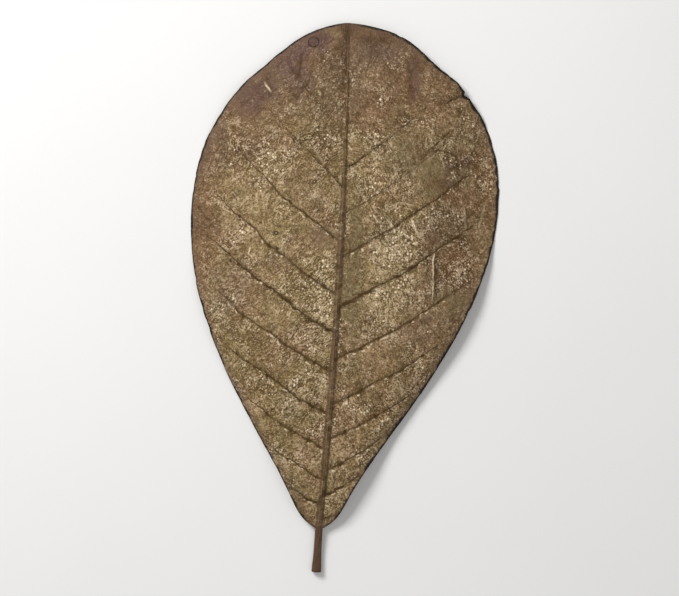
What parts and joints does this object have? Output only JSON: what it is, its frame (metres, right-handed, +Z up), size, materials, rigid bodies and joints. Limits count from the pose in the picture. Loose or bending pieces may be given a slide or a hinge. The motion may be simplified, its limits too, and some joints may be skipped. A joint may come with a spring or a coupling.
{
  "type": "indian almond leaf",
  "caption": "Dried Indian almond leaf: a broad rounded blade with midrib, side veins and a short stalk. It lies on a surface as natural decor.",
  "frame": {"origin": "centre of the leaf's box, on the surface that it lies on", "axes": "+Y from the stalk to the tip, +Z up out of the upper face, +X to the right seen from above with the tip away"},
  "size_m": [0.1052, 0.188, 0.0097],
  "materials": {
    "dried_leaf": "dry leathery leaf, olive brown with darker veins and a soft golden shine"
  },
  "bodies": {
    "root": {"leaf": "dried_leaf"}
  },
  "joints": []
}
